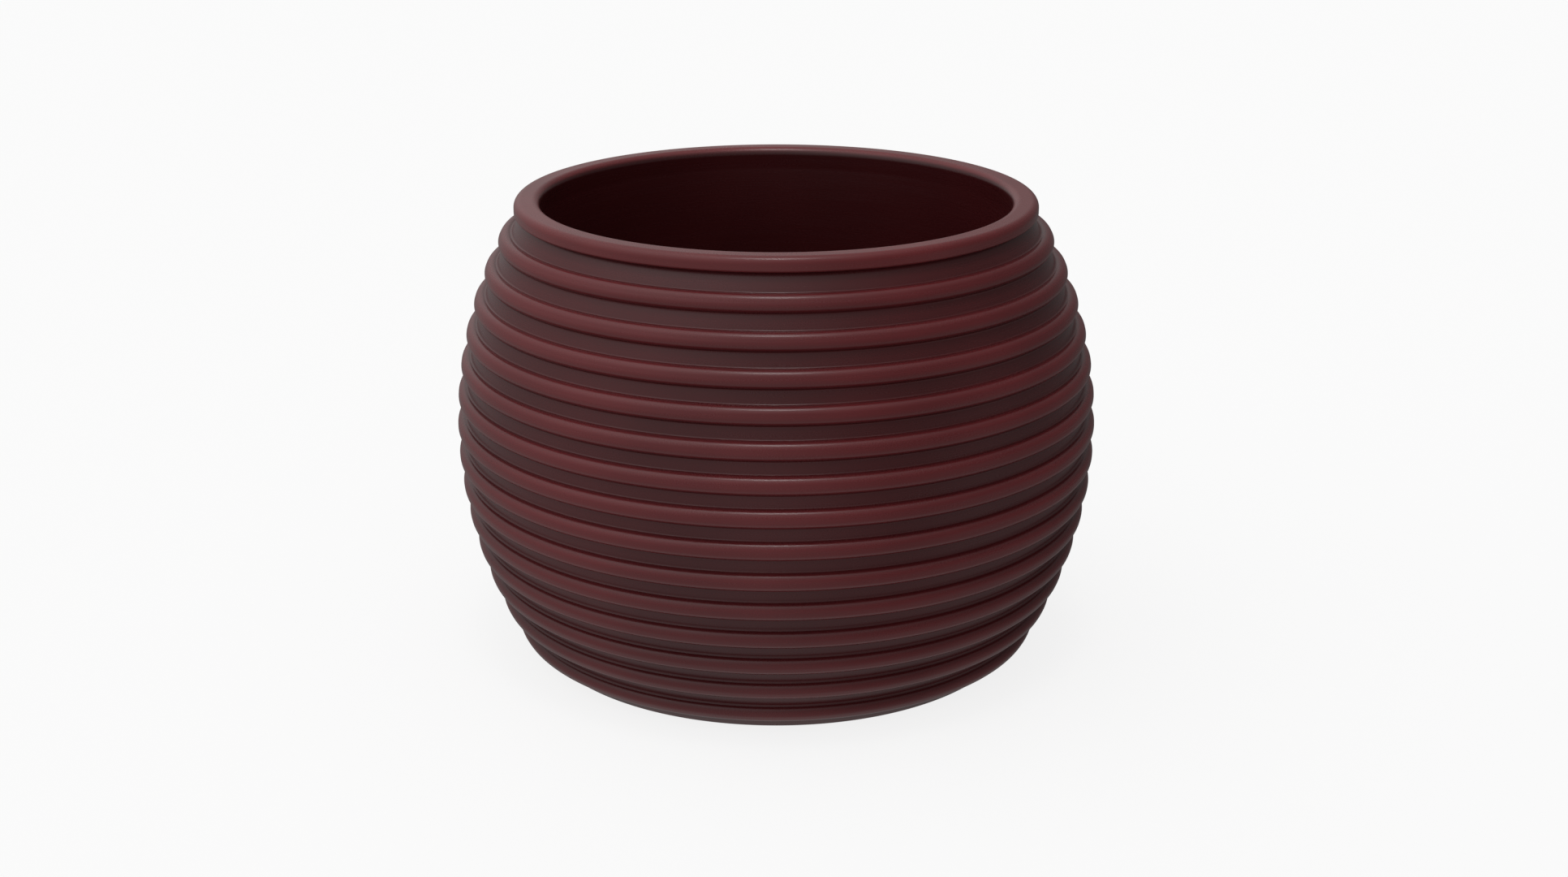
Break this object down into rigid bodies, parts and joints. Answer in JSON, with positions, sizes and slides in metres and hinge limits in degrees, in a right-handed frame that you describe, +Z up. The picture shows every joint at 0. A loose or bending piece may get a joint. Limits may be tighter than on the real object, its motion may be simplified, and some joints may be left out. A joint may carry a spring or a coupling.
{
  "type": "garden planter bowl",
  "caption": "Round barrel-shaped garden planter bowl with evenly spaced half-round hoops, a thick rounded lip and a smooth lift-out liner with drain plug, drainage platform and felt mat",
  "frame": {"origin": "On the ground at the centre of the foot pads, on the axis of revolution", "axes": "+Z up along the axis of revolution; +X and +Y level, +X through one foot pad"},
  "size_m": [0.5998, 0.5998, 0.4305],
  "materials": {
    "shell_body": "satin moulded polyethylene, oxblood",
    "liner_body": "satin moulded polyethylene, oxblood",
    "foot_rubber": "matte black rubber",
    "seal_rubber": "black nitrile rubber",
    "stainless": "stainless steel",
    "brass_insert": "turned brass",
    "fitting_plastic": "glass-filled nylon, charcoal",
    "platform_plastic": "moulded polypropylene, dark grey",
    "filter_felt": "needle-punched geotextile felt, dark grey"
  },
  "bodies": {
    "shell": {"ribbed_shell": "shell_body", "foot_pads": "foot_rubber", "foot_washers": "stainless", "foot_screws": "stainless", "foot_inserts": "brass_insert"},
    "liner": {"liner_pot": "liner_body", "drain_bush": "fitting_plastic", "drain_gasket": "seal_rubber", "drain_nut": "fitting_plastic"},
    "platform": {"drainage_platform": "platform_plastic", "platform_legs": "platform_plastic"},
    "mat": {"filter_mat": "filter_felt"},
    "plug_seal": {"plug_o_ring": "seal_rubber"},
    "plug": {"drain_plug": "fitting_plastic"}
  },
  "joints": [
    {"name": "liner_lift", "type": "slide", "parent": "shell", "child": "liner", "axis": [0, 0, 1], "range_m": [0, 0.44]},
    {"name": "platform_lift", "type": "slide", "parent": "liner", "child": "platform", "axis": [0, 0, 1], "range_m": [0, 0.42]},
    {"name": "mat_lift", "type": "slide", "parent": "platform", "child": "mat", "axis": [0, 0, 1], "range_m": [0, 0.36]},
    {"name": "plug_travel", "type": "slide", "parent": "liner", "child": "plug_seal", "axis": [0, 0, -1], "range_m": [0, 0.012]},
    {"name": "plug_turn", "type": "hinge", "parent": "plug_seal", "child": "plug", "pos_m": [0, 0, 0.012], "axis": [0, 0, -1], "range_deg": [0, 1440]}
  ],
  "couplings": [
    {"joint": "plug_travel", "follows": "plug_turn", "m_per_rad": 0.00047746}
  ]
}
